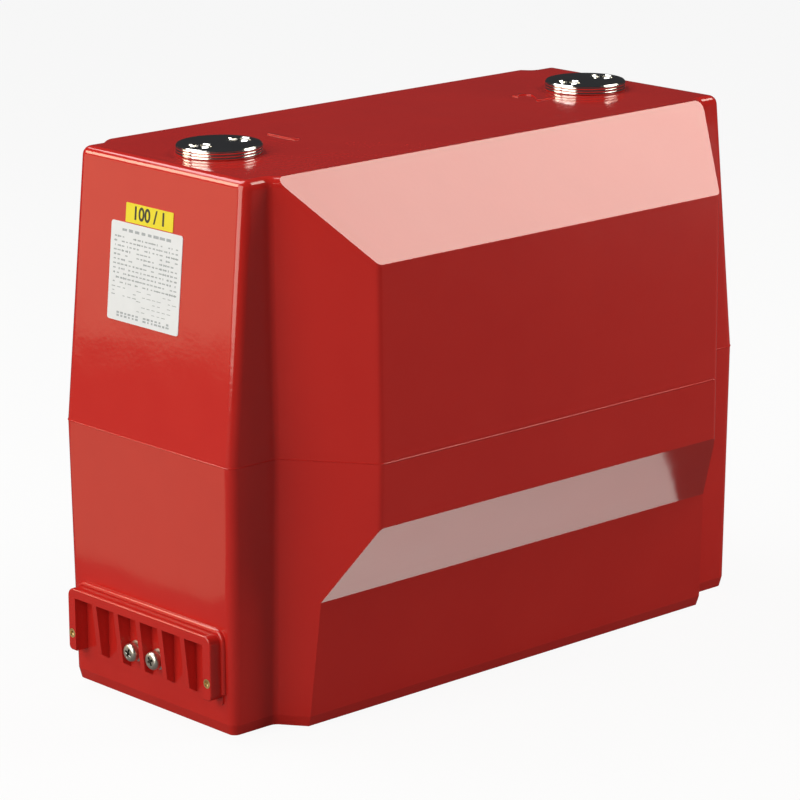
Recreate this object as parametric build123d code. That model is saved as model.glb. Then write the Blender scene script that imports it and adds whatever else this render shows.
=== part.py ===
from build123d import *
import os

# A resin-cast, support type current transformer. Sizes are in millimetres.
# The origin is the middle of the mounting face, +Z is up, and -X is the end with the secondary terminals.

# The casting's long narrow block: widest at the mould's parting height and drafted from there both ways
casting_height = 275.0
parting_height = 136.5
parting_length, parting_width = 356.0, 130.0
top_end_inset, top_side_inset = 13.0, 1.5
foot_end_inset, foot_side_inset = 1.0, 2.0
corner_radius = 5.2
top_edge_radius = 4.8
foot_chamfer_height = 5.5
foot_chamfer_inset = 1.4

# The bulge on each long side, which houses the core: how far it stands out, and the heights of its facets
bulge_shoulder_step = 1.9
bulge_reach = 41.6
bulge_parting_reach = 42.2
bulge_waist_reach = 17.3
skirt_foot_reach = 12.1
upper_facet_height = 40.4
lower_facet_drop = 32.5
lower_facet_height = 39.3
bulge_end_inset = 59.3
bulge_end_run = 0.73
bulge_corner_radius = 4.0
valley_radius = 4.0
casting_overlap = 8.0
edge_pick_margin = 1.0

# The secondary terminal block: a pad on the end face, and a frame and barrier ribs that stand on it
bay_count = 6
frame_depth = 8.6
frame_half_width = 56.2
frame_side_rail = 5.8
frame_top = 51.5
frame_top_rail = 4.9
frame_foot = 18.5
frame_corner_radius = 4.5
frame_foot_radius = 2.5
frame_edge_radius = 0.8
pad_depth = 0.9
pad_foot = 14.8
rib_thickness = 3.4
rib_foot = 20.3
rib_foot_setback = 2.9
rib_root_foot = 17.3

# Inserts in the frame's side rails for the screws of the terminal cover
cover_insert_radius = 2.4
cover_insert_hole_radius = 1.25
cover_insert_length = 8.0
cover_insert_height = 27.5
cover_insert_floor = 1.0

# Secondary terminals, in the two middle bays
secondary_bays = (3, 2)
terminal_height = 27.6
terminal_insert_radius = 4.2
terminal_insert_length = 24.0
terminal_insert_proud = 0.5
terminal_hole_depth = 14.0
screw_radius = 2.5
screw_length = 12.0
screw_head_radius = 4.75
screw_head_height = 3.7
screw_head_chamfer = 1.2
recess_span = 5.0
recess_width = 1.2
recess_depth = 1.8
washer_radius = 5.4
washer_thickness = 1.2
washer_gap = 1.8
screw_clearance = 0.2

# Primary terminals: plated discs with two tapped holes each, cast into the top
terminal_end_inset = 50.5
terminal_radius = 21.5
terminal_proud = 5.0
terminal_rim_chamfer = 0.8
terminal_groove_height = 2.0
terminal_groove_width = 0.8
terminal_groove_depth = 0.6
terminal_shank_radius = 19.0
terminal_shank_length = 24.0
primary_hole_spacing = 25.0
primary_hole_radius = 5.1
primary_hole_depth = 20.0

# The ring core with the secondary winding and the cushion round it, on an axis along X
core_outer_radius = 69.0
core_inner_radius = 47.0
core_width = 60.0
secondary_build = 8.0
cushion_thickness = 2.0
core_foot_cover = 23.0

# The primary winding, a racetrack coil that passes through the core's window and back above the core
primary_section_width = 36.0
primary_section_height = 22.0
primary_end_gap = 16.0
primary_return_gap = 18.0
primary_bend_radius = 8.0

# Copper bars from the primary winding to the terminals, and wires to the secondary terminals
lead_width = 20.0
lead_thickness = 5.0
lead_bend_radius = 8.0
secondary_lead_radius = 1.8

# Threaded inserts of hexagon bar in the mounting face
mount_end_inset = 43.0
mount_side_inset = 15.0
mount_insert_across_flats = 19.0
mount_insert_length = 30.0
mount_hole_radius = 5.1
mount_hole_depth = 22.0

# Stick-on labels on the sloping upper half of the end face
label_thickness = 0.3
rating_label_width = 55.0
rating_label_height = 49.2
rating_label_side_offset = 6.8
rating_label_drop = 57.0
rating_label_corner = 1.5
ratio_label_width = 36.4
ratio_label_height = 9.6
ratio_label_side_offset = 5.4
ratio_label_drop = 27.2
ratio_label_corner = 0.5

# Places worked out from the sizes above
top_length, top_width = parting_length - 2 * top_end_inset, parting_width - 2 * top_side_inset
base_length, base_width = parting_length - 2 * foot_end_inset, parting_width - 2 * foot_side_inset
bulge_shoulder = top_width / 2 + bulge_shoulder_step
bulge_side = parting_width / 2 + bulge_reach
bulge_parting_side = parting_width / 2 + bulge_parting_reach
bulge_waist = parting_width / 2 + bulge_waist_reach
skirt_foot = parting_width / 2 + skirt_foot_reach
bulge_side_half_length = parting_length / 2 - bulge_end_inset
upper_facet_foot_height = casting_height - upper_facet_height
lower_facet_top_height = parting_height - lower_facet_drop
lower_facet_foot_height = lower_facet_top_height - lower_facet_height
terminal_spacing = parting_length - 2 * terminal_end_inset
mount_spacing_x, mount_spacing_y = parting_length - 2 * mount_end_inset, parting_width - 2 * mount_side_inset
end_face = -base_length / 2
pad_face = end_face - pad_depth
frame_face = end_face - frame_depth
bay_opening = 2 * (frame_half_width - frame_side_rail)
bay_pitch = (bay_opening + rib_thickness) / bay_count
bay_width = bay_pitch - rib_thickness
terminal_face = pad_face - terminal_insert_proud
wrapping = secondary_build + cushion_thickness
cushion_outer_radius = core_outer_radius + wrapping
core_axis_height = cushion_outer_radius + core_foot_cover
primary_inner_half = core_width / 2 + wrapping + primary_end_gap
primary_outer_half = primary_inner_half + primary_section_height
primary_inner_foot = core_axis_height + primary_section_height / 2
primary_inner_top = core_axis_height + cushion_outer_radius + primary_return_gap


def bay_centre(index):
    """Y of a bay's middle, counted from the -Y side."""
    return -bay_opening / 2 + bay_width / 2 + index * bay_pitch


def mirrored(half):
    """A closed outline from the points of its + half, given from the foot up."""
    return make_face(Polyline(*half, *[(-u, v) for u, v in reversed(half)], close=True))


def rod_x(radius, start, end, y, z):
    """A round bar along X."""
    return Pos((start + end) / 2, y, z) * Rot(0, 90, 0) * Cylinder(radius, abs(end - start))


def upright(edge):
    return abs(edge.tangent_at(0.5).Z) > 0.8


def near(edge, x, y, reach=4):
    centre = edge.center()
    return abs(abs(centre.X) - x) < reach and abs(abs(centre.Y) - y) < reach


def narrow_block():
    """The full-length block: its profile from the side crossed with its profile from the end."""
    ends = [(base_length / 2, 0), (parting_length / 2, parting_height), (top_length / 2, casting_height)]
    sides = [(base_width / 2, 0), (parting_width / 2, parting_height), (top_width / 2, casting_height)]
    along = extrude(Plane.XZ * mirrored(ends), amount=parting_width, both=True)
    across = extrude(Plane.YZ * mirrored(sides), amount=parting_length, both=True)
    block = along & across
    corners = [e for e in block.edges() if upright(e)]
    return fillet(corners, corner_radius)


def bulge_end_at(y):
    """Half length of the bulge at a distance from the middle plane: its ends are slanted in plan."""
    return bulge_side_half_length + bulge_end_run * (bulge_side - abs(y))


def bulge():
    """The faceted bulge on both long sides: its cross profile, trimmed to its slanted ends."""
    half = [
        (skirt_foot, 0),
        (bulge_waist, lower_facet_foot_height),
        (bulge_side, lower_facet_top_height),
        (bulge_parting_side, parting_height),
        (bulge_side, upper_facet_foot_height),
        (bulge_shoulder, casting_height),
    ]
    prism = extrude(Plane.YZ * mirrored(half), amount=parting_length / 2, both=True)
    root = base_width / 2 - casting_overlap
    plan = [(bulge_end_at(y), y) for y in (-bulge_parting_side, -root, root, bulge_parting_side)]
    shape = prism & extrude(mirrored(plan), amount=casting_height)
    corners = [e for e in shape.edges() if upright(e) and near(e, bulge_side_half_length, bulge_side)]
    return fillet(corners, bulge_corner_radius)


def mould_half(casting, low, high):
    """One mould half of the casting, with the valleys beside the bulge rounded."""
    half = casting & Pos(0, 0, (low + high) / 2) * Box(parting_length, 3 * bulge_parting_side, high - low)
    valley = bulge_end_at(parting_width / 2)
    edges = [e for e in half.edges() if upright(e) and near(e, valley, parting_width / 2)]
    return fillet(edges, valley_radius)


def outer_casting():
    """The casting's outside, with its top edge rounded and its foot chamfered."""
    casting = narrow_block() + bulge()
    whole = mould_half(casting, 0, parting_height) + mould_half(casting, parting_height, casting_height)
    top = whole.edges().group_by(Axis.Z)[-1]
    shoulder = bulge_end_at(bulge_shoulder)
    whole = fillet([e for e in top if abs(e.center().X) > shoulder - edge_pick_margin], top_edge_radius)
    foot = whole.faces().sort_by(Axis.Z)[0]
    return chamfer(foot.edges(), foot_chamfer_inset, foot_chamfer_height, reference=foot)


def terminal_frame():
    """The frame of the secondary terminal block: a top rail and two side rails, open at the foot."""
    depth = frame_depth + casting_overlap
    outline = Pos(0, (frame_top + frame_foot) / 2) * Rectangle(2 * frame_half_width, frame_top - frame_foot)
    frame = extrude(Plane.YZ.offset(frame_face) * outline, amount=depth)
    frame = fillet(frame.edges().filter_by(Axis.X).group_by(Axis.Z)[-1], frame_corner_radius)
    frame = fillet(frame.edges().filter_by(Axis.X).group_by(Axis.Z)[0], frame_foot_radius)
    frame = fillet(frame.faces().sort_by(Axis.X)[0].edges(), frame_edge_radius)
    opening_top = frame_top - frame_top_rail
    opening = Pos(0, opening_top / 2) * Rectangle(bay_opening, opening_top)
    return frame - extrude(Plane.YZ.offset(frame_face) * opening, amount=depth, both=True)


def barrier_ribs():
    """The ribs between the bays: flush with the frame at the top and tapering back to the foot."""
    top = frame_top - frame_top_rail
    root = end_face + casting_overlap
    outline = [
        (root, top),
        (frame_face, top),
        (frame_face + rib_foot_setback, rib_foot),
        (pad_face, rib_root_foot),
        (root, rib_root_foot),
    ]
    rib = extrude(Plane.XZ * make_face(Polyline(*outline, close=True)), amount=rib_thickness / 2, both=True)
    middles = [(bay_centre(i) + bay_centre(i + 1)) / 2 for i in range(bay_count - 1)]
    return [Pos(0, y, 0) * rib for y in middles]


def terminal_pad():
    """The low raised pad on the end face, under the frame and the bays."""
    plate = RectangleRounded(2 * frame_half_width, frame_top - pad_foot, frame_foot_radius)
    outline = Pos(0, (frame_top + pad_foot) / 2) * plate
    return extrude(Plane.YZ.offset(pad_face) * outline, amount=casting_overlap)


def turned(outline):
    """A solid turned about the Z axis from half of its section."""
    return revolve(Plane.XZ * make_face(Polyline(*outline, close=True)), Axis.Z)


def primary_terminal():
    """A plated disc on a cast-in shank, with two tapped holes in line with the body."""
    rim = terminal_radius
    top = casting_height + terminal_proud
    groove = casting_height + terminal_groove_height
    foot = casting_height - terminal_shank_length
    outline = [
        (0, foot),
        (terminal_shank_radius, foot),
        (terminal_shank_radius, casting_height),
        (rim, casting_height),
        (rim, groove),
        (rim - terminal_groove_depth, groove),
        (rim - terminal_groove_depth, groove + terminal_groove_width),
        (rim, groove + terminal_groove_width),
        (rim, top - terminal_rim_chamfer),
        (rim - terminal_rim_chamfer, top),
        (0, top),
    ]
    disc = turned(outline)
    hole = Pos(0, 0, top - primary_hole_depth / 2) * Cylinder(primary_hole_radius, primary_hole_depth)
    for end in (-1, 1):
        disc -= Pos(end * primary_hole_spacing / 2, 0, 0) * hole
    return disc


def terminal_shank():
    """What a primary terminal takes up below the top of the casting."""
    middle = casting_height - terminal_shank_length / 2
    return Pos(0, 0, middle) * Cylinder(terminal_shank_radius, terminal_shank_length)


def loop(half_length, low, high, bend, width):
    """A flat block in the long middle plane with four rounded bends."""
    outline = Pos(0, (low + high) / 2) * RectangleRounded(2 * half_length, high - low, bend)
    return extrude(Plane.XZ * outline, amount=width / 2, both=True)


def primary_winding():
    """The wrapped primary coil, whose lower limb passes through the core's window."""
    build, bend = primary_section_height, primary_bend_radius
    low, high = primary_inner_foot, primary_inner_top
    coil = loop(primary_outer_half, low - build, high + build, bend + build, primary_section_width)
    return coil - loop(primary_inner_half, low, high, bend, 2 * primary_section_width)


def primary_lead(side):
    """A bent copper bar from the side of the primary coil up to the underside of a terminal."""
    tap_height = (primary_inner_foot + primary_inner_top) / 2
    tap = (side * primary_outer_half, tap_height)
    bend = (side * terminal_spacing / 2, tap_height)
    head = (side * terminal_spacing / 2, casting_height - terminal_shank_length)
    bar = trace(FilletPolyline(tap, bend, head, radius=lead_bend_radius), lead_thickness)
    return extrude(Plane.XZ * bar, amount=lead_width / 2, both=True)


def ring(inner, outer, width):
    """A ring on the core's axis."""
    return rod_x(outer, -width / 2, width / 2, 0, core_axis_height) - rod_x(
        inner, -width, width, 0, core_axis_height
    )


def core_layers():
    """The wound core and what is wrapped round it: each layer is closed round the one before it."""
    inner, outer, width = core_inner_radius, core_outer_radius, core_width
    filled = ring(inner, outer, width)
    layers = {"iron_core": filled}
    for name, build in (("secondary_winding", secondary_build), ("winding_cushion", cushion_thickness)):
        inner, outer, width = inner - build, outer + build, width + 2 * build
        wrapped = ring(inner, outer, width)
        layers[name] = wrapped - filled
        filled = wrapped
    return layers, filled


def secondary_lead(y):
    """The wire from the side of the secondary winding to the back of its terminal insert."""
    start = -(core_width / 2 + secondary_build)
    return rod_x(secondary_lead_radius, start, terminal_face + terminal_insert_length, y, terminal_height)


def insert_x(radius, face, length, y, z):
    """The plain outside of a threaded insert that opens towards -X."""
    return rod_x(radius, face, face + length, y, z)


def screw_washer(y):
    back = terminal_face
    front = back - washer_thickness
    hole = rod_x(screw_radius + screw_clearance, front, back, y, terminal_height)
    return rod_x(washer_radius, front, back, y, terminal_height) - hole


def terminal_screw(y):
    """A cross-recess pan head screw, standing a little off its washer."""
    seat = terminal_face - washer_thickness - washer_gap
    face = seat - screw_head_height
    head = rod_x(screw_head_radius, seat, face, y, terminal_height)
    head = chamfer(head.faces().sort_by(Axis.X)[0].edges(), screw_head_chamfer)
    for span, width in ((recess_span, recess_width), (recess_width, recess_span)):
        slot = Box(recess_depth, span, width)
        head -= Pos(face + recess_depth / 2, y, terminal_height) * slot
    return head + rod_x(screw_radius, seat, seat + screw_length, y, terminal_height)


def mount_insert():
    """The hexagon bar of a threaded insert, whose flats key it in the casting."""
    outline = RegularPolygon(mount_insert_across_flats / 2, 6, major_radius=False)
    return extrude(outline, amount=mount_insert_length)


def on_end_face(y, z, sketch):
    """A sketch laid on the sloping upper half of the end face, facing outwards."""
    run = (parting_length - top_length) / 2
    rise = casting_height - parting_height
    x = -parting_length / 2 + run * (z - parting_height) / rise
    return Plane(origin=(x, y, z), x_dir=(0, -1, 0), z_dir=(-rise, 0, run)) * sketch


def rating_label():
    outline = RectangleRounded(rating_label_width, rating_label_height, rating_label_corner)
    place = (rating_label_side_offset, casting_height - rating_label_drop)
    return extrude(on_end_face(*place, outline), amount=label_thickness)


def ratio_label():
    outline = RectangleRounded(ratio_label_width, ratio_label_height, ratio_label_corner)
    place = (ratio_label_side_offset, casting_height - ratio_label_drop)
    return extrude(on_end_face(*place, outline), amount=label_thickness)


def all_parts():
    """Every piece by its name, and last the casting with the room that the other pieces take in it."""
    parts, core = core_layers()
    parts["primary_winding"] = primary_winding()
    embedded = [core, parts["primary_winding"]]

    for name, side in (("left", -1), ("right", 1)):
        place = Pos(side * terminal_spacing / 2, 0, 0)
        parts[f"primary_terminal_{name}"] = place * primary_terminal()
        parts[f"primary_lead_{name}"] = primary_lead(side)
        embedded += [place * terminal_shank(), parts[f"primary_lead_{name}"]]

    for number, bay in enumerate(secondary_bays, start=1):
        y = bay_centre(bay)
        place = (y, terminal_height)
        lead = secondary_lead(y)
        insert = insert_x(terminal_insert_radius, terminal_face, terminal_insert_length, *place)
        hole = insert_x(screw_radius + screw_clearance, terminal_face, terminal_hole_depth, *place)
        parts["winding_cushion"] -= lead
        parts[f"secondary_lead_{number}"] = lead
        parts[f"secondary_insert_{number}"] = insert - hole
        parts[f"secondary_washer_{number}"] = screw_washer(y)
        parts[f"secondary_screw_{number}"] = terminal_screw(y)
        embedded += [lead, insert]

    rail_middle = frame_half_width - frame_side_rail / 2
    for name, side in (("left", 1), ("right", -1)):
        place = (side * rail_middle, cover_insert_height)
        insert = insert_x(cover_insert_radius, frame_face, cover_insert_length, *place)
        depth = cover_insert_length - cover_insert_floor
        hole = insert_x(cover_insert_hole_radius, frame_face, depth, *place)
        parts[f"cover_insert_{name}"] = insert - hole
        embedded.append(insert)

    corners = [(x, y) for x in (-1, 1) for y in (-1, 1)]
    for number, (x, y) in enumerate(corners, start=1):
        place = Pos(x * mount_spacing_x / 2, y * mount_spacing_y / 2, 0)
        insert = place * mount_insert()
        hole = place * Pos(0, 0, mount_hole_depth / 2) * Cylinder(mount_hole_radius, mount_hole_depth)
        parts[f"mount_insert_{number}"] = insert - hole
        embedded.append(insert)

    parts["rating_label"] = rating_label()
    parts["ratio_label"] = ratio_label()
    casting = outer_casting() + terminal_pad() + terminal_frame() + barrier_ribs()
    parts["resin_body"] = casting - embedded
    return parts


os.makedirs("parts", exist_ok=True)
for node, solid in all_parts().items():
    export_step(solid, f"parts/{node}.step")
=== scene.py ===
import math

import bmesh
import bpy
from mathutils import Matrix, Vector


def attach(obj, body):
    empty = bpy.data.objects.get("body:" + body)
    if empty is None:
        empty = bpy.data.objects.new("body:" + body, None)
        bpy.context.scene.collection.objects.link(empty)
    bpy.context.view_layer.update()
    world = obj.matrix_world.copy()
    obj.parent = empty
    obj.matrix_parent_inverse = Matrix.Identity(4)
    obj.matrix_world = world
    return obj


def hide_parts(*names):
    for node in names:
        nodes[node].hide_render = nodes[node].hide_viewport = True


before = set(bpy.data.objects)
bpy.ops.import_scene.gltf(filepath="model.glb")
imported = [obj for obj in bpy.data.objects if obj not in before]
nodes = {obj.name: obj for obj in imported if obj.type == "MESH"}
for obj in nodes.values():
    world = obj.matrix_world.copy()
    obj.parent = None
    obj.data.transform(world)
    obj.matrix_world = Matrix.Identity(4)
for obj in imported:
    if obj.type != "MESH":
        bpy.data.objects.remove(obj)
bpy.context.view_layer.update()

# Camera: stands to the left of the long side and a little above the top, and looks down by 15 degrees.
# It is far away with a long lens, so the block's upright edges stay almost parallel.
camera_place = Vector((-1.2623, -1.3662, 0.6244))
camera_yaw, camera_pitch, camera_roll = math.radians(47.446), math.radians(-15.0), -0.0044
ahead = Vector((
    math.cos(camera_pitch) * math.cos(camera_yaw),
    math.cos(camera_pitch) * math.sin(camera_yaw),
    math.sin(camera_pitch),
))
level_right = Vector((math.sin(camera_yaw), -math.cos(camera_yaw), 0))
level_up = level_right.cross(ahead)
camera_right = level_right * math.cos(camera_roll) + level_up * math.sin(camera_roll)
camera_up = level_up * math.cos(camera_roll) - level_right * math.sin(camera_roll)
camera = bpy.data.objects.new("camera", bpy.data.cameras.new("camera"))
camera.data.lens, camera.data.sensor_width = 165.64, 36.0
camera.data.clip_start, camera.data.clip_end = 0.1, 100.0
turn = Matrix((camera_right, camera_up, -ahead)).transposed()
camera.matrix_world = Matrix.Translation(camera_place) @ turn.to_4x4()
bpy.context.scene.collection.objects.link(camera)
bpy.context.scene.camera = camera
bpy.context.scene.view_settings.view_transform = "Standard"


class Reading:
    """A socket of a finish, which can be added to, multiplied and compared like a number."""

    def __init__(self, finish, socket):
        self.finish, self.socket = finish, socket

    def maths(self, operation, first, second=0.0):
        return self.finish.add("ShaderNodeMath", {"operation": operation}, {0: first, 1: second})

    def __add__(self, other):
        return self.maths("ADD", self, other)

    def __radd__(self, other):
        return self.maths("ADD", other, self)

    def __sub__(self, other):
        return self.maths("SUBTRACT", self, other)

    def __rsub__(self, other):
        return self.maths("SUBTRACT", other, self)

    def __mul__(self, other):
        return self.maths("MULTIPLY", self, other)

    def __rmul__(self, other):
        return self.maths("MULTIPLY", other, self)

    def __pow__(self, other):
        return self.maths("POWER", self, other)

    def __gt__(self, other):
        return self.maths("GREATER_THAN", self, other)

    def __lt__(self, other):
        return self.maths("LESS_THAN", self, other)

    def clipped(self):
        return self.maths("MAXIMUM", self.maths("MINIMUM", self, 1.0), 0.0)


def wired_node(tree, kind, settings, sockets):
    """A node with its settings, then its sockets' values or links."""
    node = tree.nodes.new(kind)
    for name, value in (settings or {}).items():
        setattr(node, name, value)
    for socket, value in (sockets or {}).items():
        if isinstance(value, Reading):
            value = value.socket
        if isinstance(value, bpy.types.NodeSocket):
            tree.links.new(value, node.inputs[socket])
        else:
            node.inputs[socket].default_value = value
    return node


class Finish:
    """A material: its shader's fixed values, and what changes over its surface."""

    def __init__(self, name, **fixed):
        self.material = bpy.data.materials.new(name)
        self.material.use_nodes = True
        self.tree = self.material.node_tree
        self.shader = self.tree.nodes["Principled BSDF"]
        for socket, value in fixed.items():
            self.shader.inputs[socket.replace("_", " ")].default_value = value

    def add(self, kind, settings=None, sockets=None, output=0):
        """A reading of one output of a new node."""
        return Reading(self, wired_node(self.tree, kind, settings, sockets).outputs[output])

    def place(self, axis=None, stretch=(1, 1, 1)):
        """Where a point is on the piece, in metres, or one of its three numbers."""
        point = self.add("ShaderNodeTexCoord", output="Object")
        if stretch != (1, 1, 1):
            point = self.add("ShaderNodeMapping", None, {"Vector": point, "Scale": stretch})
        if axis is None:
            return point
        return self.add("ShaderNodeSeparateXYZ", None, {0: point}, output=axis)

    def noise(self, scale, detail=2.0, rough=0.5, stretch=(1, 1, 1)):
        where = self.place(stretch=stretch)
        sockets = {"Vector": where, "Scale": scale, "Detail": detail, "Roughness": rough}
        return self.add("ShaderNodeTexNoise", None, sockets)

    def between(self, share, first, second):
        """A colour between two colours."""
        sockets = {0: share, 6: first, 7: second}
        return self.add("ShaderNodeMix", {"data_type": "RGBA"}, sockets, output=2)

    def feed(self, **changing):
        for socket, reading in changing.items():
            self.tree.links.new(reading.socket, self.shader.inputs[socket.replace("_", " ")])

    def toned(self, tone, dark, light, smoothest, roughening):
        """Lets one reading move the colour between two colours, and the roughness up from the smoothest."""
        self.feed(Base_Color=self.between(tone, dark, light), Roughness=tone * roughening + smoothest)

    def bump(self, height, distance):
        """Adds small relief, in metres, to the relief that the finish has so far."""
        sockets = {"Height": height, "Distance": distance}
        sunk = self.shader.inputs["Normal"].links
        if sunk:
            sockets["Normal"] = Reading(self, sunk[0].from_socket)
        self.feed(Normal=self.add("ShaderNodeBump", None, sockets))


def finish_node(name, finish):
    """Gives a piece of the frame its finish, and leaves its shape as it is."""
    nodes[name].data.materials.clear()
    nodes[name].data.materials.append(finish.material)


core_steel = Finish("core_steel", Metallic=1.0, Roughness=0.34)
strip_grain = core_steel.noise(420.0, 3.0)
core_steel.toned(strip_grain, (0.30, 0.31, 0.33, 1), (0.42, 0.43, 0.45, 1), 0.26, 0.18)
core_steel.bump(core_steel.noise(90.0, 2.0), 0.0002)
finish_node("iron_core", core_steel)

# The secondary winding: enamelled copper wire wound evenly round the core, with a wire from each end
# to the terminals. A soft black cushion is wrapped over it, so that the resin can shrink as it sets.
winding_copper = Finish("winding_copper", Metallic=0.7, Roughness=0.3)
enamel_tone = winding_copper.noise(160.0, 2.0)
winding_copper.toned(enamel_tone, (0.42, 0.12, 0.035, 1), (0.62, 0.21, 0.07, 1), 0.22, 0.2)
wire_waves = winding_copper.add(
    "ShaderNodeTexWave", {"bands_direction": "X"}, {"Vector": winding_copper.place(), "Scale": 180.0}
)
winding_copper.bump(wire_waves, 0.0004)
for name in ("secondary_winding", "primary_winding", "primary_lead_left", "primary_lead_right",
             "secondary_lead_1", "secondary_lead_2"):
    finish_node(name, winding_copper)

cushion = Finish("cushion", Roughness=0.85)
crepe = cushion.noise(600.0, 4.0)
cushion.toned(crepe, (0.03, 0.03, 0.03, 1), (0.07, 0.065, 0.06, 1), 0.7, 0.2)
cushion.bump(crepe, 0.0004)
finish_node("winding_cushion", cushion)

# The primary terminals: turned copper discs with a bright silver plating, cast into the top of the block.
# Each has beads round its edge and two holes with a cut thread for the busbar's screws.
MM = 0.001
plating = Finish("silver_plating", Metallic=1.0, Roughness=0.1)
lathe_rings = plating.noise(900.0, 2.0, stretch=(0.2, 0.2, 6.0))
polish = plating.noise(70.0, 3.0)
plating.toned(polish, (0.80, 0.78, 0.74, 1), (0.93, 0.92, 0.89, 1), 0.05, 0.12)
plating.bump(lathe_rings, 0.00002)


def mesh_piece(name, mesh, finish, replaced=(), smooth_below=0.6):
    """A mesh as a piece of the object, with soft shading where its faces meet below an angle."""
    for polygon in mesh.polygons:
        polygon.use_smooth = True
    mesh.set_sharp_from_angle(angle=smooth_below)
    mesh.materials.clear()
    mesh.materials.append(finish.material)
    piece = bpy.data.objects.new(name, mesh)
    bpy.context.scene.collection.objects.link(piece)
    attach(piece, "root")
    if replaced:
        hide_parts(*replaced)
    return piece


def as_mesh(name, shape, tidy=True):
    """Ends the building of a shape: doubles merged, faces outwards."""
    if tidy:
        bmesh.ops.remove_doubles(shape, verts=shape.verts[:], dist=1e-7)
        bmesh.ops.recalc_face_normals(shape, faces=shape.faces[:])
    mesh = bpy.data.meshes.new(name)
    shape.to_mesh(mesh)
    shape.free()
    return mesh


def turned_wall(shape, profile, centre, axis, segments):
    """Adds the wall that a profile of (radius, distance along the axis) makes when it is turned."""
    along = Vector(axis).normalized()
    across = Vector((0, 1, 0)) if abs(along.x) > 0.5 else Vector((1, 0, 0))
    third = along.cross(across)
    rings = []
    for radius, height in profile:
        middle = Vector(centre) + along * height
        if radius < 1e-9:
            rings.append([shape.verts.new(middle)])
            continue
        ring = []
        for i in range(segments):
            angle = 2 * math.pi * i / segments
            spoke = across * math.cos(angle) + third * math.sin(angle)
            ring.append(shape.verts.new(middle + spoke * radius))
        rings.append(ring)
    for lower, upper in zip(rings, rings[1:]):
        for i in range(segments):
            j = (i + 1) % segments
            corners = [lower[i % len(lower)], lower[j % len(lower)],
                       upper[j % len(upper)], upper[i % len(upper)]]
            distinct = list(dict.fromkeys(corners))
            if len(distinct) > 2:
                shape.faces.new(distinct)
    return rings


def flat_between(shape, loops):
    """Fills the flat face between a rim and the holes in it."""
    edges = [shape.edges.get((loop[i], loop[i - 1])) for loop in loops for i in range(len(loop))]
    bmesh.ops.triangle_fill(shape, use_beauty=True, edges=edges)


class Growth:
    """A Geometry Nodes tree with named inputs, which ends in real geometry that has its finish."""

    def __init__(self, name, **inputs):
        self.tree = bpy.data.node_groups.new(name, "GeometryNodeTree")
        face = self.tree.interface
        for label, kind in {**inputs, "Finish": "Material"}.items():
            face.new_socket(name=label, in_out="INPUT", socket_type="NodeSocket" + kind)
        face.new_socket(name="Geometry", in_out="OUTPUT", socket_type="NodeSocketGeometry")
        self.given = self.tree.nodes.new("NodeGroupInput").outputs

    def add(self, kind, settings=None, sockets=None, output=0):
        """One output of a new node."""
        return wired_node(self.tree, kind, settings, sockets).outputs[output]

    def swept(self, path, radius, sides):
        """A ridge along a path, with so many sides."""
        sockets = {"Resolution": sides, "Radius": radius}
        section = self.add("GeometryNodeCurvePrimitiveCircle", None, sockets)
        sockets = {"Curve": path, "Profile Curve": section, "Fill Caps": True}
        return self.add("GeometryNodeCurveToMesh", None, sockets)

    def ended(self, geometry):
        """The whole tree, with its end put on."""
        real = self.add("GeometryNodeRealizeInstances", None, {"Geometry": geometry})
        sockets = {"Geometry": real, "Material": self.given["Finish"]}
        painted = self.add("GeometryNodeSetMaterial", None, sockets)
        self.tree.links.new(painted, self.tree.nodes.new("NodeGroupOutput").inputs["Geometry"])
        return self.tree


def plain_mesh(host):
    """What a helping object shows, as a plain mesh. The object goes."""
    bpy.context.scene.collection.objects.link(host)
    bpy.context.view_layer.update()
    drawn = host.evaluated_get(bpy.context.evaluated_depsgraph_get())
    mesh = bpy.data.meshes.new_from_object(drawn)
    bpy.data.objects.remove(host)
    return mesh


def grown(tree, values, carrier=None):
    """The mesh that a tree makes with these values for its inputs."""
    host = bpy.data.objects.new("host", carrier or bpy.data.meshes.new("host"))
    maker = host.modifiers.new("maker", "NODES")
    maker.node_group = tree
    names = {item.name: item.identifier for item in tree.interface.items_tree if item.in_out == "INPUT"}
    for name, value in values.items():
        maker[names[name]] = value
    return plain_mesh(host)


def helix_tree():
    """A tree for a cut thread: a ridge along a helix."""
    growth = Growth("cut_thread", Turns="Float", Radius="Float", Length="Float", Depth="Float")
    given = growth.given
    helix = growth.add("GeometryNodeCurveSpiral", None, {
        "Resolution": 40, "Rotations": given["Turns"], "Height": given["Length"],
        "Start Radius": given["Radius"], "End Radius": given["Radius"],
    })
    upright = growth.add("GeometryNodeSetCurveNormal", {"mode": "Z_UP"}, {"Curve": helix})
    return growth.ended(growth.swept(upright, given["Depth"], sides=4))


cut_thread = helix_tree()


def thread(radius, pitch, length, depth, place, axis, finish):
    """A cut thread from a place along an axis."""
    values = {"Turns": length / pitch, "Radius": radius, "Length": length, "Depth": depth,
              "Finish": finish.material}
    mesh = grown(cut_thread, values)
    turn = Vector((0, 0, 1)).rotation_difference(Vector(axis))
    mesh.transform(Matrix.Translation(place) @ turn.to_matrix().to_4x4())
    return mesh


def joined(name, meshes):
    """Several meshes as one."""
    shape = bmesh.new()
    for mesh in meshes:
        shape.from_mesh(mesh)
    return as_mesh(name, shape, tidy=False)


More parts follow.
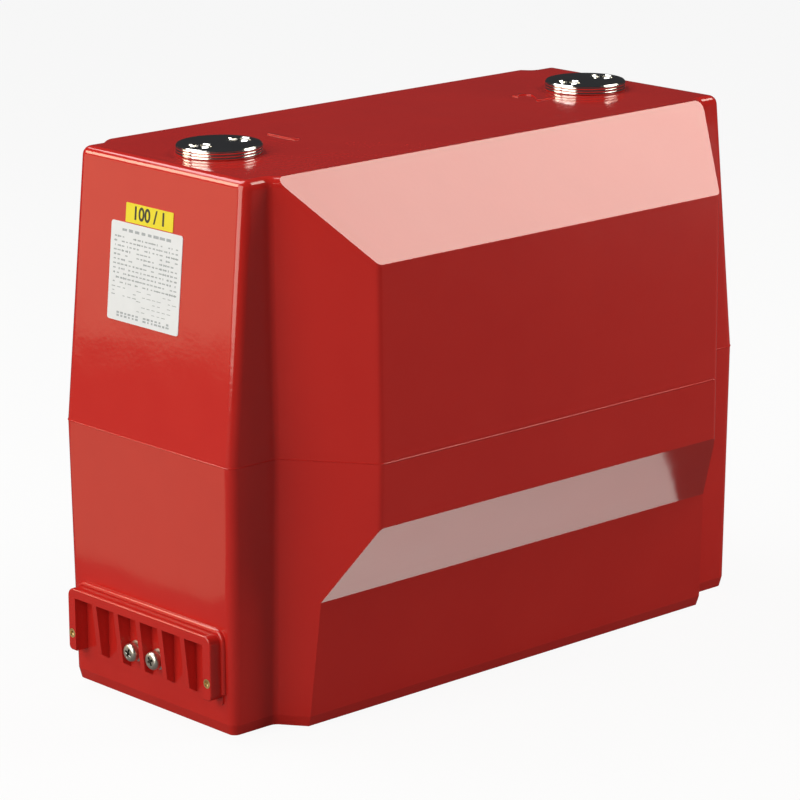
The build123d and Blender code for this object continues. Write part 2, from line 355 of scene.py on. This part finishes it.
casting_top = 275 * MM
disc_place = 127.5 * MM
disc_radius, disc_height = 21.5 * MM, 5 * MM
disc_chamfer, chamfer_start, chamfer_rise = 0.7 * MM, 0.15 * MM, 0.1 * MM
shank_radius, shank_length = 19 * MM, 24 * MM
bead_count, bead_depth, bead_steps = 3, 0.5 * MM, 9
disc_segments, small_segments = 128, 64
busbar_hole_half_spacing = 12.5 * MM
busbar_hole_sink, busbar_hole_depth = 6.6 * MM, 20 * MM
busbar_thread_root, busbar_thread_pitch, busbar_thread_depth = 6.0 * MM, 1.75 * MM, 0.9 * MM
busbar_thread_start, busbar_thread_runout = 0.8 * MM, 2 * MM


def terminal_disc(name, x):
    """A disc on a shank: beads and a chamfer round its edge, and two sunk holes with a thread."""
    top = casting_top + disc_height
    groove = disc_radius - bead_depth
    bead = (disc_height - disc_chamfer) / bead_count
    profile = [(0, -shank_length), (shank_radius, -shank_length), (shank_radius, 0), (groove, 0)]
    for i in range(bead_count):
        for step in range(1, bead_steps):
            angle = math.pi * step / bead_steps
            swell = disc_radius - bead_depth * (1 - math.sin(angle))
            profile.append((swell, bead * (i + (1 - math.cos(angle)) / 2)))
        profile.append((groove, bead * (i + 1)))
    profile += [(disc_radius - chamfer_start, bead * bead_count + chamfer_rise),
                (disc_radius - disc_chamfer, disc_height)]
    shape = bmesh.new()
    loops = [turned_wall(shape, profile, (x, 0, casting_top), (0, 0, 1), disc_segments)[-1]]
    threads = []
    for side in (-1, 1):
        hole_x = x + side * busbar_hole_half_spacing
        sink = busbar_hole_sink - busbar_thread_root
        hole = [(busbar_hole_sink, 0), (busbar_thread_root, -sink),
                (busbar_thread_root, -busbar_hole_depth), (0, -busbar_hole_depth)]
        loops.append(turned_wall(shape, hole, (hole_x, 0, top), (0, 0, 1), small_segments)[0])
        threads.append(thread(busbar_thread_root, busbar_thread_pitch,
                              busbar_hole_depth - busbar_thread_runout, busbar_thread_depth,
                              (hole_x, 0, top - busbar_thread_start), (0, 0, -1), plating))
    flat_between(shape, loops)
    disc = joined(name, [as_mesh(name, shape), *threads])
    mesh_piece(name + "_turned", disc, plating, [name])


for name, side in (("primary_terminal_left", -1), ("primary_terminal_right", 1)):
    terminal_disc(name, side * disc_place)

# The threaded inserts: turned brass, for the secondary screws, the cover's screws and the mounting screws.
# They are held in the mould while the resin is poured round them, and end flush with it.
brass = Finish("insert_brass", Metallic=1.0, Roughness=0.4)
brass_tone = brass.noise(220.0, 3.0)
brass.toned(brass_tone, (0.80, 0.54, 0.22, 1), (0.95, 0.74, 0.38, 1), 0.28, 0.25)
brass.bump(brass.noise(1500.0, 2.0), 0.00002)
for name in ("secondary_insert_1", "secondary_insert_2", "cover_insert_left", "cover_insert_right",
             "mount_insert_1", "mount_insert_2", "mount_insert_3", "mount_insert_4"):
    finish_node(name, brass)


def insert_thread(name, place, axis, **sizes):
    """The thread in an insert, as a piece."""
    mesh = thread(place=Vector(place), axis=axis, finish=brass, **sizes)
    mesh_piece(name, mesh, brass, smooth_below=1.2)


mount_half_length, mount_half_width, mount_sink = 135 * MM, 50 * MM, 1.2 * MM
for number, (x, y) in enumerate(((-1, -1), (-1, 1), (1, -1), (1, 1)), 1):
    place = (x * mount_half_length, y * mount_half_width, mount_sink)
    insert_thread(f"mount_thread_{number}", place, (0, 0, 1),
                  radius=5.1 * MM, pitch=1.5 * MM, length=20 * MM, depth=0.6 * MM)
frame_face, cover_sink = -185.6 * MM, 0.5 * MM
cover_half_width, cover_height = 53.3 * MM, 27.5 * MM
for name, side in (("cover_thread_left", 1), ("cover_thread_right", -1)):
    place = (frame_face + cover_sink, side * cover_half_width, cover_height)
    insert_thread(name, place, (1, 0, 0),
                  radius=1.25 * MM, pitch=0.5 * MM, length=6 * MM, depth=0.2 * MM)

# The casting: quartz-filled epoxy resin, coloured brick red through and through, and glossy where the
# polished mould has formed it. The two mould halves meet half-way up.
resin = Finish("cast_resin", Roughness=0.16, IOR=1.52, Coat_Weight=0.2, Coat_Roughness=0.04)
flow = resin.noise(7.0, 3.0, 0.55, stretch=(1, 1, 0.5))
fine_flow = resin.noise(45.0, 4.0)
deep_red, warm_red = (0.53, 0.016, 0.014, 1), (0.62, 0.027, 0.019, 1)
mottle = (flow * 0.8 + fine_flow * 0.35 - 0.1).clipped()
resin.feed(Base_Color=resin.between(mottle, deep_red, warm_red))
resin.feed(Roughness=(flow * 0.06 + fine_flow * 0.05 + 0.045).clipped())
resin.bump(resin.noise(16.0, 2.0), 0.0006)
resin.bump(resin.noise(380.0, 2.0), 0.00003)
finish_node("resin_body", resin)

# The parting line: a thin flash of resin where the mould halves meet, all round the casting. It is
# trimmed by hand after the casting leaves the mould, so only a low ridge is left.
parting_height = 136.5 * MM
flash_radius = 0.28 * MM


def outline_at(height, mesh):
    """The outer outline of a mesh at one height, as a closed ring of points."""
    shape = bmesh.new()
    shape.from_mesh(mesh)
    bmesh.ops.remove_doubles(shape, verts=shape.verts[:], dist=1e-6)
    everything = shape.verts[:] + shape.edges[:] + shape.faces[:]
    cut = bmesh.ops.bisect_plane(shape, geom=everything, dist=1e-7,
                                 plane_co=(0, 0, height), plane_no=(0, 0, 1))
    beside = {}
    for edge in cut["geom_cut"]:
        if isinstance(edge, bmesh.types.BMEdge):
            a, b = (tuple(round(c, 5) for c in v.co) for v in edge.verts)
            beside.setdefault(a, set()).add(b)
            beside.setdefault(b, set()).add(a)
    shape.free()
    outer = waiting = {min(beside)}
    while waiting:
        waiting = {p for q in waiting for p in beside[q]} - outer
        outer = outer | waiting
    return sorted(outer, key=lambda p: math.atan2(p[1], p[0]))


def ridge_tree():
    """A tree that lays a round ridge along a path."""
    growth = Growth("round_ridge", Path="Geometry", Radius="Float")
    path = growth.add("GeometryNodeMeshToCurve", None, {"Mesh": growth.given["Path"]})
    return growth.ended(growth.swept(path, growth.given["Radius"], sides=16))


round_ridge = ridge_tree()


def resin_ridge(name, points, closed, radius, smooth_below):
    """A round ridge of resin through points."""
    count = len(points)
    path = bpy.data.meshes.new(name + "_path")
    path.from_pydata(points, [(i, (i + 1) % count) for i in range(count if closed else count - 1)], [])
    mesh = grown(round_ridge, {"Radius": radius, "Finish": resin.material}, path)
    mesh_piece(name, mesh, resin, smooth_below=smooth_below)


parting_outline = outline_at(parting_height, nodes["resin_body"].data)
resin_ridge("parting_flash", parting_outline, closed=True, radius=flash_radius, smooth_below=0.6)

# The edge of the secondary terminals' pad: moulded in one piece with the casting. It is a rounded bead,
# and stands out from the end face above the frame and beside it.
pad_half_width, pad_top, pad_foot = 56.6 * MM, 52.4 * MM, 21 * MM
pad_corner, pad_corner_steps = 5 * MM, 8
pad_edge_radius, pad_edge_x = 1.5 * MM, -177.6 * MM
right_half = [(pad_half_width, pad_foot)]
for step in range(pad_corner_steps + 1):
    angle = math.pi / 2 * step / pad_corner_steps
    right_half.append((pad_half_width - pad_corner * (1 - math.cos(angle)),
                       pad_top - pad_corner * (1 - math.sin(angle))))
pad_outline = right_half + [(-y, z) for y, z in reversed(right_half)]
pad_edge = [(pad_edge_x, y, z) for y, z in pad_outline]
resin_ridge("terminal_pad_edge", pad_edge, closed=False, radius=pad_edge_radius, smooth_below=1.0)

# The secondary screws: nickel-plated steel, with a pan head and a cross recess, each over a round washer.
# They are left a little open, as delivered, so that a wire's lug can go under the head.
terminal_height, terminal_half_spacing = 27.6 * MM, 8.683 * MM
screw_seat, washer_back = -181.4 * MM, -178.4 * MM
head_radius, head_height, head_edge = 4.75 * MM, 3.7 * MM, 0.2 * MM
dome_base, dome_flat, dome_steps = 1.5 * MM, 2.9 * MM, 10
screw_length, screw_radius, screw_tip = 12 * MM, 2.5 * MM, 0.5 * MM
screw_thread_pitch, screw_thread_length = 0.8 * MM, 11 * MM
screw_thread_depth, screw_thread_start = 0.3 * MM, 0.4 * MM
# The cross recess, from the head's top down: depth, reach of an arm, and half its width.
recess_levels = (
    (0, 2.4 * MM, 0.7 * MM),
    (0.25 * MM, 2.15 * MM, 0.55 * MM),
    (2.0 * MM, 1.1 * MM, 0.4 * MM),
)
recess_floor = 2.5 * MM
# How far the painted shade and the duller plating of the cross recess reach.
shade_and_dull_front, shade_and_dull_back, shade_and_dull_reach = -185.02 * MM, -182.0 * MM, 2.5 * MM
outwards = (-1, 0, 0)

# The plating is duller in the cross recess than on the head, and the recess also gets a near-black colour,
# which is painted shade.
nickel = Finish("nickel_plating", Metallic=1.0, Roughness=0.3)
nickel_tone = nickel.noise(260.0, 3.0)
sideways = nickel.place(1)
across = sideways.maths("ABSOLUTE", sideways) - terminal_half_spacing
upwards = nickel.place(2) - terminal_height
from_axis = (across * across + upwards * upwards) ** 0.5
in_head = (nickel.place(0) > shade_and_dull_front) * (nickel.place(0) < shade_and_dull_back)
shade_and_dull_recess = (from_axis < shade_and_dull_reach) * in_head
nickel_colour = nickel.between(nickel_tone, (0.76, 0.73, 0.66, 1), (0.95, 0.92, 0.85, 1))
# Painted shade: inside the cross recess the colour is near black.
nickel.feed(Base_Color=nickel.between(shade_and_dull_recess, nickel_colour, (0.10, 0.09, 0.08, 1)))
nickel.feed(Roughness=nickel_tone * 0.2 + shade_and_dull_recess * 0.3 + 0.22)


def recess_ring(shape, top, twist, depth, arm, width):
    """The outline of the cross at one depth: three corners for each arm."""
    ring = []
    for quarter in range(4):
        turn = Matrix.Rotation(twist + quarter * math.pi / 2, 3, "X")
        for u, v in ((arm, -width), (arm, width), (width, width)):
            ring.append(shape.verts.new(top + turn @ Vector((0, u, v)) - Vector(outwards) * depth))
    return ring


def terminal_screw(name, y, twist):
    """A pan head screw: shank, thread, domed head and a cross recess that narrows to its floor."""
    centre = Vector((screw_seat, y, terminal_height))
    top = centre + Vector(outwards) * head_height
    core = screw_radius - screw_thread_depth
    profile = [(0, -screw_length), (core - screw_tip, -screw_length), (core, screw_tip - screw_length),
               (core, 0), (head_radius - head_edge, 0), (head_radius, head_edge),
               (head_radius, dome_base)]
    for step in range(1, dome_steps + 1):
        angle = math.pi / 2 * step / dome_steps
        profile.append((dome_flat + (head_radius - dome_flat) * math.cos(angle),
                        dome_base + (head_height - dome_base) * math.sin(angle)))
    shape = bmesh.new()
    rim = turned_wall(shape, profile, centre, outwards, small_segments)[-1]
    rings = [recess_ring(shape, top, twist, *level) for level in recess_levels]
    for upper, lower in zip(rings, rings[1:]):
        for i in range(len(upper)):
            shape.faces.new((upper[i - 1], upper[i], lower[i], lower[i - 1]))
    deepest = shape.verts.new(top - Vector(outwards) * recess_floor)
    for i in range(len(rings[-1])):
        shape.faces.new((rings[-1][i - 1], rings[-1][i], deepest))
    flat_between(shape, [rim, rings[0]])
    ridge = thread(core, screw_thread_pitch, screw_thread_length, screw_thread_depth,
                   centre + Vector((screw_thread_start, 0, 0)), (1, 0, 0), nickel)
    screw = joined(name, [as_mesh(name, shape), ridge])
    mesh_piece(name + "_turned", screw, nickel, [name], smooth_below=0.7)


def terminal_washer(name, y):
    """A punched washer, with the rounded edge that the punch leaves."""
    hole, edge, thick, soft = 2.7 * MM, 5.4 * MM, 1.2 * MM, 0.25 * MM
    bevel = soft * 0.3
    profile = [(hole, soft), (hole + soft, 0), (edge - soft, 0), (edge - bevel, bevel), (edge, soft),
               (edge, thick - soft), (edge - bevel, thick - bevel), (edge - soft, thick),
               (hole + soft, thick), (hole, thick - soft), (hole, soft)]
    shape = bmesh.new()
    turned_wall(shape, profile, (washer_back, y, terminal_height), outwards, small_segments)
    mesh_piece(name + "_punched", as_mesh(name, shape), nickel, [name])


for number, y, twist in ((1, terminal_half_spacing, 0.35), (2, -terminal_half_spacing, 1.1)):
    terminal_screw(f"secondary_screw_{number}", y, twist)
    terminal_washer(f"secondary_washer_{number}", y)

# The labels: printed film, stuck on the sloping end face. The large white one is ruled in rows, and the
# small yellow one holds plain numbers.
white_film = Finish("white_film", Roughness=0.35)
film_tone = white_film.noise(120.0, 2.0)
white_film.toned(film_tone, (0.76, 0.79, 0.86, 1), (0.84, 0.87, 0.94, 1), 0.25, 0.15)
finish_node("rating_label", white_film)


def flat_finish(name, roughness, scale, dark, light):
    """A film or an ink of one even gloss, with a tone between two colours."""
    finish = Finish(name, Roughness=roughness)
    finish.feed(Base_Color=finish.between(finish.noise(scale, 2.0), dark, light))
    return finish


yellow_film = flat_finish("yellow_film", 0.35, 120.0, (0.82, 0.68, 0.02, 1), (0.90, 0.78, 0.04, 1))
finish_node("ratio_label", yellow_film)
grey_ink = flat_finish("grey_ink", 0.4, 900.0, (0.28, 0.31, 0.36, 1), (0.50, 0.54, 0.60, 1))
black_ink = flat_finish("black_ink", 0.4, 900.0, (0.02, 0.02, 0.015, 1), (0.06, 0.055, 0.04, 1))


def printed_face(name):
    """Where a label's print goes: a matrix with right, up and outwards, and the face's width and height."""
    mesh = nodes[name].data
    face = max((p for p in mesh.polygons if p.normal.x < -0.5), key=lambda p: p.area)
    out = face.normal.copy()
    right = Vector((0, -1, 0))
    up = out.cross(right)
    reach = max(v.co.dot(out) for v in mesh.vertices)
    on_face = [v.co for v in mesh.vertices if v.co.dot(out) > reach - 1e-5]
    spans = []
    for way in (right, up):
        along = [p.dot(way) for p in on_face]
        spans.append((min(along), max(along)))
    middle = right * sum(spans[0]) / 2 + up * sum(spans[1]) / 2 + out * reach
    turn = Matrix((right, up, out)).transposed().to_4x4()
    return Matrix.Translation(middle) @ turn, [high - low for low, high in spans]


def dash_tree():
    """A tree for rows of printed dashes of uneven length, some of them left out."""
    growth = Growth("printed_rows", Width="Float", Height="Float", Columns="Int", Rows="Int",
                    Dash="Vector", Kept="Float", Seed="Int")
    given = growth.given
    grid = growth.add("GeometryNodeMeshGrid", None, {
        "Size X": given["Width"], "Size Y": given["Height"],
        "Vertices X": given["Columns"], "Vertices Y": given["Rows"],
    })
    dash = growth.add("GeometryNodeMeshCube", None, {"Size": given["Dash"]})
    chance = {"Probability": given["Kept"], "Seed": given["Seed"]}
    pick = growth.add("FunctionNodeRandomValue", {"data_type": "BOOLEAN"}, chance, output=3)
    shortest, longest = (0.45, 0.8, 1.0), (1.0, 1.0, 1.0)
    spread = {0: shortest, 1: longest, "Seed": given["Seed"]}
    size = growth.add("FunctionNodeRandomValue", {"data_type": "FLOAT_VECTOR"}, spread)
    laid = growth.add("GeometryNodeInstanceOnPoints", None, {
        "Points": grid, "Selection": pick, "Instance": dash, "Scale": size,
    })
    return growth.ended(laid)


def lettered(name, text, size, depth, soft=0.0, bold=0.0):
    """Plain numbers as a mesh that stands up from the ground plane by a depth."""
    curve = bpy.data.curves.new(name, "FONT")
    curve.body, curve.size, curve.extrude, curve.bevel_depth = text, size, depth - soft, soft
    curve.align_x, curve.align_y, curve.offset = "CENTER", "CENTER", bold
    shape = bmesh.new()
    shape.from_mesh(plain_mesh(bpy.data.objects.new("host", curve)))
    return as_mesh(name, shape)


ink_height = 0.03 * MM
printed_rows = dash_tree()
place, (width, height) = printed_face("rating_label")
rows = []
# Each block of rows: its place, width and height and the size of a dash, as shares of the label.
for left, down, wide, tall, columns, lines, dash_width, dash_height, kept, seed in (
    (0.50, 0.075, 0.62, 0.0, 8, 1, 0.075, 0.030, 1.0, 2),
    (0.50, 0.38, 0.86, 0.46, 17, 11, 0.048, 0.014, 0.72, 5),
    (0.50, 0.38, 0.86, 0.46, 26, 11, 0.018, 0.022, 0.35, 9),
    (0.22, 0.70, 0.30, 0.08, 5, 3, 0.060, 0.010, 0.6, 4),
    (0.68, 0.76, 0.50, 0.20, 8, 5, 0.060, 0.008, 0.6, 7),
    (0.50, 0.93, 0.70, 0.03, 14, 2, 0.045, 0.022, 0.9, 11),
):
    dash_size = (dash_width * width, dash_height * height, ink_height)
    mesh = grown(printed_rows, {
        "Width": wide * width, "Height": tall * height, "Columns": columns, "Rows": lines,
        "Dash": dash_size, "Kept": kept, "Seed": seed, "Finish": grey_ink.material,
    })
    offset = ((left - 0.5) * width, (0.5 - down) * height, ink_height / 2)
    mesh.transform(place @ Matrix.Translation(offset))
    rows.append(mesh)
mesh_piece("rating_print", joined("rating_print", rows), grey_ink, smooth_below=0.1)

place, (width, height) = printed_face("ratio_label")
number_share, number_weight = 0.95, 0.25 * MM
numbers = lettered("ratio_print", "100 / 1", height * number_share, ink_height, bold=number_weight)
numbers.transform(place)
mesh_piece("ratio_print", numbers, black_ink, smooth_below=0.1)

# The marks beside the primary terminals: plain numbers, cast in one piece with the top. The mould is
# engraved with them, so they stand up from the resin with a softened edge.
mark_size, mark_height, mark_soft = 30 * MM, 0.45 * MM, 0.12 * MM
for name, text, x, y in (
    ("terminal_mark_left", "1", -78 * MM, 8 * MM),
    ("terminal_mark_right", "2", 90 * MM, 1 * MM),
):
    numbers = lettered(name, text, mark_size, mark_height, mark_soft)
    numbers.transform(Matrix.Translation((x, y, casting_top)))
    mesh_piece(name, numbers, resin, smooth_below=0.5)

# Studio: a plain white floor and soft lamps that stand outside the picture. The camera sees the floor's
# full white, while the gloss sees a dim room with the lamps as bright panels.
floor_mesh = bpy.data.meshes.new("floor")
floor_shape = bmesh.new()
bmesh.ops.create_circle(floor_shape, cap_ends=True, radius=30.0, segments=96)
floor_shape.to_mesh(floor_mesh)
floor_shape.free()
floor = bpy.data.objects.new("floor", floor_mesh)
floor.location = (0, 0, -0.2 * MM)
bpy.context.scene.collection.objects.link(floor)
floor_finish = Finish("floor", Roughness=0.9)
seen = floor_finish.add("ShaderNodeLightPath", output="Is Camera Ray")
mirrored = floor_finish.add("ShaderNodeLightPath", output="Is Glossy Ray")
through = floor_finish.add("ShaderNodeLightPath", output="Is Transmission Ray")
glow = floor_finish.add("ShaderNodeEmission", None, {"Color": (1, 1, 1, 1), "Strength": 1.0})
lit = Reading(floor_finish, floor_finish.shader.outputs["BSDF"])
white_seen, white_mirrored = 0.92, 0.03
share = (seen * white_seen + through * white_seen + mirrored * white_mirrored).clipped()
floor_dim, floor_white = (0.09, 0.09, 0.09, 1), (0.8, 0.8, 0.8, 1)
floor_finish.feed(Base_Color=floor_finish.between(seen, floor_dim, floor_white))
floor_look = floor_finish.add("ShaderNodeMixShader", None, {0: share, 1: lit, 2: glow})
floor_end = floor_finish.tree.nodes["Material Output"].inputs["Surface"]
floor_finish.tree.links.new(floor_look.socket, floor_end)
floor_mesh.materials.append(floor_finish.material)

world = bpy.data.worlds.new("studio")
world.use_nodes = True
world.node_tree.nodes["Background"].inputs["Color"].default_value = (0.03, 0.031, 0.034, 1)
bpy.context.scene.world = world


def lamp(name, place, towards, width, height, strength, colour, lights, spread=180.0):
    """A soft box: a rectangle of even light. It lights surfaces, shows in gloss, or does both."""
    data = bpy.data.lights.new(name, "AREA")
    data.shape = "RECTANGLE"
    data.size, data.size_y = width, height
    data.energy = strength * width * height * math.pi
    data.color = colour
    data.spread = math.radians(spread)
    box = bpy.data.objects.new(name, data)
    box.location = place
    box.rotation_euler = (Vector(towards) - Vector(place)).to_track_quat("-Z", "Y").to_euler()
    bpy.context.scene.collection.objects.link(box)
    box.visible_camera = False
    box.visible_diffuse = lights != "gloss"
    box.visible_glossy = lights != "surfaces"


for name, place, towards, width, height, strength, colour, lights in (
    ("key_box", (-1.36, 0.10, 0.6), (-0.1, 0, 0.18), 1.1, 1.15, 3.75, (1.0, 0.95, 0.82), "both"),
    ("fill_box", (-0.8, -1.1, 0.5), (0, 0, 0.15), 0.6, 0.6, 2.8, (1.0, 0.97, 0.95), "surfaces"),
    ("haze_box", (-1.14, 1.09, 0.21), (-0.15, 0, 0.2), 0.75, 0.42, 1.0, (1.0, 0.88, 0.6), "both"),
    ("rim_box", (-0.95, 1.05, 0.87), (-0.15, 0, 0.25), 0.5, 0.5, 8.0, (1.0, 0.88, 0.65), "gloss"),
    ("top_box", (0.86, -0.40, 1.16), (0, -0.09, 0.25), 0.75, 0.48, 6.0, (1.0, 0.99, 0.88), "both"),
    ("over_box", (-0.3, 0.6, 1.25), (-0.1, 0, 0.27), 0.8, 0.8, 4.5, (1.0, 1.0, 1.0), "both"),
    ("side_box", (1.3, -0.95, 0.32), (0, -0.1, 0.15), 0.7, 0.6, 9.0, (1.0, 0.96, 0.9), "surfaces"),
):
    lamp(name, place, towards, width, height, strength, colour, lights)

# Cards that lie on the floor and face up: one along each long side, for the sloping facet above it, and
# one behind the end. Only the gloss shows them.
card_lift = 1 * MM
for name, x, y, width, height, strength, colour, spread in (
    ("card_box", 0.03, -0.103, 0.30, 0.04, 1.4, (1.0, 1.0, 0.93), 120.0),
    ("card_box", 0.03, 0.103, 0.30, 0.04, 1.4, (1.0, 1.0, 0.93), 120.0),
    ("bounce_box", -0.42, 0.28, 0.24, 0.36, 0.5, (1.0, 0.85, 0.55), 180.0),
):
    lamp(name, (x, y, card_lift), (x, y, 1.0), width, height, strength, colour, "gloss", spread)
